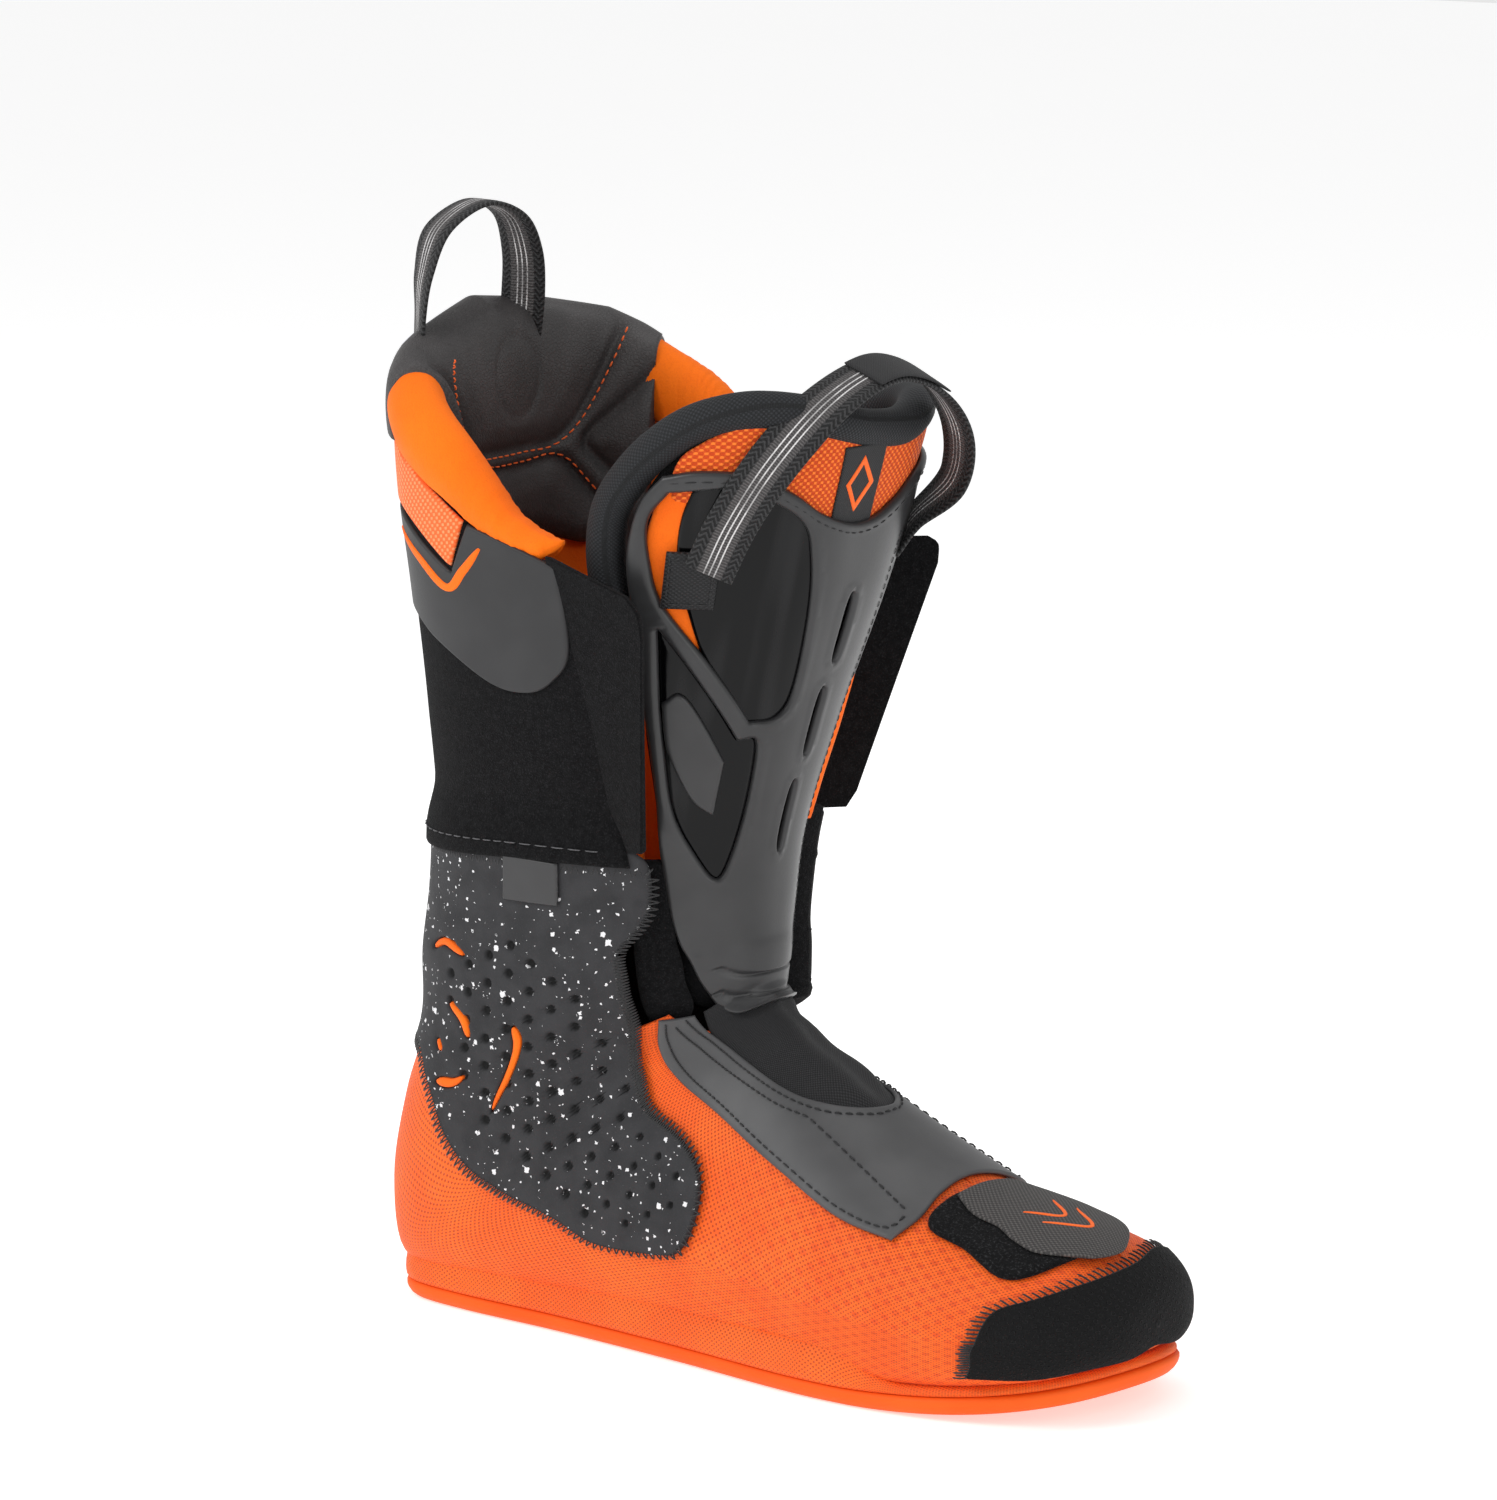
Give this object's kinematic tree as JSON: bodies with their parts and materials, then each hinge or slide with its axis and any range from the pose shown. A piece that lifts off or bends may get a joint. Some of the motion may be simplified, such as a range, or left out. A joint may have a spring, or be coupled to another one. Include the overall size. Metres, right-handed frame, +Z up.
{
  "type": "ski boot liner",
  "caption": "Removable padded inner boot for an alpine ski boot, with a moulded tongue, closure flaps, knit upper, foam sole and pull loops.",
  "frame": {"origin": "on the sole bottom face, halfway along the foot", "axes": "+X to the toe, +Y to the inner (medial) side of a right foot, +Z up the leg"},
  "size_m": [0.2845, 0.142, 0.358],
  "materials": {
    "ankle_panel_lateral": "perforated flecked foam",
    "ankle_panel_medial": "perforated flecked foam",
    "calf_pad": "grained synthetic leather, padded",
    "collar_lateral": "soft brushed knit over foam",
    "collar_medial": "soft brushed knit over foam",
    "cuff_film_lateral": "satin film",
    "cuff_film_medial": "satin film",
    "cuff_foam_lateral": "brushed lining on foam",
    "cuff_foam_medial": "brushed lining on foam",
    "cuff_mesh_lateral": "coated mesh",
    "cuff_mesh_medial": "coated mesh",
    "cuff_wrap_lateral": "looped pile",
    "cuff_wrap_medial": "looped pile",
    "foot_foam_ankle_lateral": "brushed lining on foam",
    "foot_foam_ankle_medial": "brushed lining on foam",
    "foot_foam_ball_lateral": "brushed lining on foam",
    "foot_foam_ball_medial": "brushed lining on foam",
    "foot_foam_heel_lateral": "brushed lining on foam",
    "foot_foam_heel_medial": "brushed lining on foam",
    "foot_foam_instep_lateral": "brushed lining on foam",
    "foot_foam_instep_medial": "brushed lining on foam",
    "foot_foam_toe_lateral": "brushed lining on foam",
    "foot_foam_toe_medial": "brushed lining on foam",
    "footbed": "flat felt",
    "instep_gusset": "stretch fabric",
    "instep_overlay": "smooth synthetic",
    "knit_upper_lateral": "knitted mesh",
    "knit_upper_medial": "knitted mesh",
    "lateral_flap": "looped pile on a stiff core",
    "medial_flap": "looped pile on a stiff core",
    "outsole": "satin moulded foam",
    "rear_pull_loop": "striped webbing",
    "size_label": "woven label",
    "spoiler_pad": "grained synthetic leather, padded",
    "strap_label": "woven label",
    "strap_patch": "box stitched webbing",
    "throat_gusset_lateral": "looped pile",
    "throat_gusset_medial": "looped pile",
    "toe_cap": "textured rubberised fabric",
    "toe_loop_patch": "looped pile",
    "toe_tab": "woven hook tab",
    "tongue_binding": "padded fabric binding",
    "tongue_foam": "lining on foam",
    "tongue_mesh": "knitted mesh",
    "tongue_pull_loop": "striped webbing",
    "tongue_shell": "satin moulded",
    "tongue_tag": "woven tag",
    "tongue_window_lower_lateral": "gloss",
    "tongue_window_lower_medial": "gloss",
    "tongue_window_upper_lateral": "gloss",
    "tongue_window_upper_medial": "gloss",
    "tongue_wing_lateral": "lining fabric",
    "tongue_wing_medial": "lining fabric"
  },
  "bodies": {
    "liner": {"ankle_panel_lateral": "ankle_panel_lateral", "ankle_panel_medial": "ankle_panel_medial", "calf_pad": "calf_pad", "collar_lateral": "collar_lateral", "collar_medial": "collar_medial", "cuff_film_lateral": "cuff_film_lateral", "cuff_film_medial": "cuff_film_medial", "cuff_foam_lateral": "cuff_foam_lateral", "cuff_foam_medial": "cuff_foam_medial", "cuff_mesh_lateral": "cuff_mesh_lateral", "cuff_mesh_medial": "cuff_mesh_medial", "cuff_wrap_lateral": "cuff_wrap_lateral", "cuff_wrap_medial": "cuff_wrap_medial", "foot_foam_ankle_lateral": "foot_foam_ankle_lateral", "foot_foam_ankle_medial": "foot_foam_ankle_medial", "foot_foam_ball_lateral": "foot_foam_ball_lateral", "foot_foam_ball_medial": "foot_foam_ball_medial", "foot_foam_heel_lateral": "foot_foam_heel_lateral", "foot_foam_heel_medial": "foot_foam_heel_medial", "foot_foam_instep_lateral": "foot_foam_instep_lateral", "foot_foam_instep_medial": "foot_foam_instep_medial", "foot_foam_toe_lateral": "foot_foam_toe_lateral", "foot_foam_toe_medial": "foot_foam_toe_medial", "footbed": "footbed", "instep_gusset": "instep_gusset", "instep_overlay": "instep_overlay", "knit_upper_lateral": "knit_upper_lateral", "knit_upper_medial": "knit_upper_medial", "outsole": "outsole", "spoiler_pad": "spoiler_pad", "throat_gusset_lateral": "throat_gusset_lateral", "throat_gusset_medial": "throat_gusset_medial", "toe_cap": "toe_cap", "toe_loop_patch": "toe_loop_patch"},
    "tongue": {"strap_patch": "strap_patch", "tongue_binding": "tongue_binding", "tongue_foam": "tongue_foam", "tongue_mesh": "tongue_mesh", "tongue_shell": "tongue_shell", "tongue_tag": "tongue_tag", "tongue_window_lower_lateral": "tongue_window_lower_lateral", "tongue_window_lower_medial": "tongue_window_lower_medial", "tongue_window_upper_lateral": "tongue_window_upper_lateral", "tongue_window_upper_medial": "tongue_window_upper_medial", "tongue_wing_lateral": "tongue_wing_lateral", "tongue_wing_medial": "tongue_wing_medial"},
    "tongue_loop": {"tongue_pull_loop": "tongue_pull_loop", "strap_label": "strap_label"},
    "lateral_closure": {"lateral_flap": "lateral_flap"},
    "medial_closure": {"medial_flap": "medial_flap"},
    "toe_closure": {"toe_tab": "toe_tab"},
    "label": {"size_label": "size_label"},
    "rear_loop": {"rear_pull_loop": "rear_pull_loop"}
  },
  "joints": [
    {"name": "tongue_tilt", "type": "hinge", "parent": "liner", "child": "tongue", "pos_m": [-0.004, 0, 0.113], "axis": [0, 1, 0], "range_deg": [0, 20], "stiffness_Nm_per_rad": 0.6},
    {"name": "lateral_flap_fold", "type": "hinge", "parent": "liner", "child": "lateral_closure", "pos_m": [-0.0287, -0.0406, 0.165], "axis": [-0.1517, -0.1983, 0.9683], "range_deg": [-75, 6], "stiffness_Nm_per_rad": 0.02},
    {"name": "medial_flap_fold", "type": "hinge", "parent": "liner", "child": "medial_closure", "pos_m": [-0.0287, 0.0406, 0.165], "axis": [-0.1517, 0.1983, 0.9683], "range_deg": [-10, 45], "stiffness_Nm_per_rad": 0.02},
    {"name": "toe_tab_lift", "type": "hinge", "parent": "liner", "child": "toe_closure", "pos_m": [0.0795, 0, 0.0645], "axis": [0, -1, 0], "range_deg": [0, 75]},
    {"name": "rear_loop_fold", "type": "hinge", "parent": "liner", "child": "rear_loop", "pos_m": [-0.115, 0, 0.322], "axis": [0, 1, 0], "range_deg": [-12, 50], "stiffness_Nm_per_rad": 0.005},
    {"name": "tongue_loop_fold", "type": "hinge", "parent": "tongue", "child": "tongue_loop", "pos_m": [0.004, -0.0405, 0.255], "axis": [0.1755, 0.9827, 0.0585], "range_deg": [0, 34], "stiffness_Nm_per_rad": 0.01},
    {"name": "size_label_flip", "type": "hinge", "parent": "liner", "child": "label", "pos_m": [-0.0627, -0.0474, 0.1566], "axis": [-0.9983, -0.059, 0], "range_deg": [0, 75]}
  ]
}
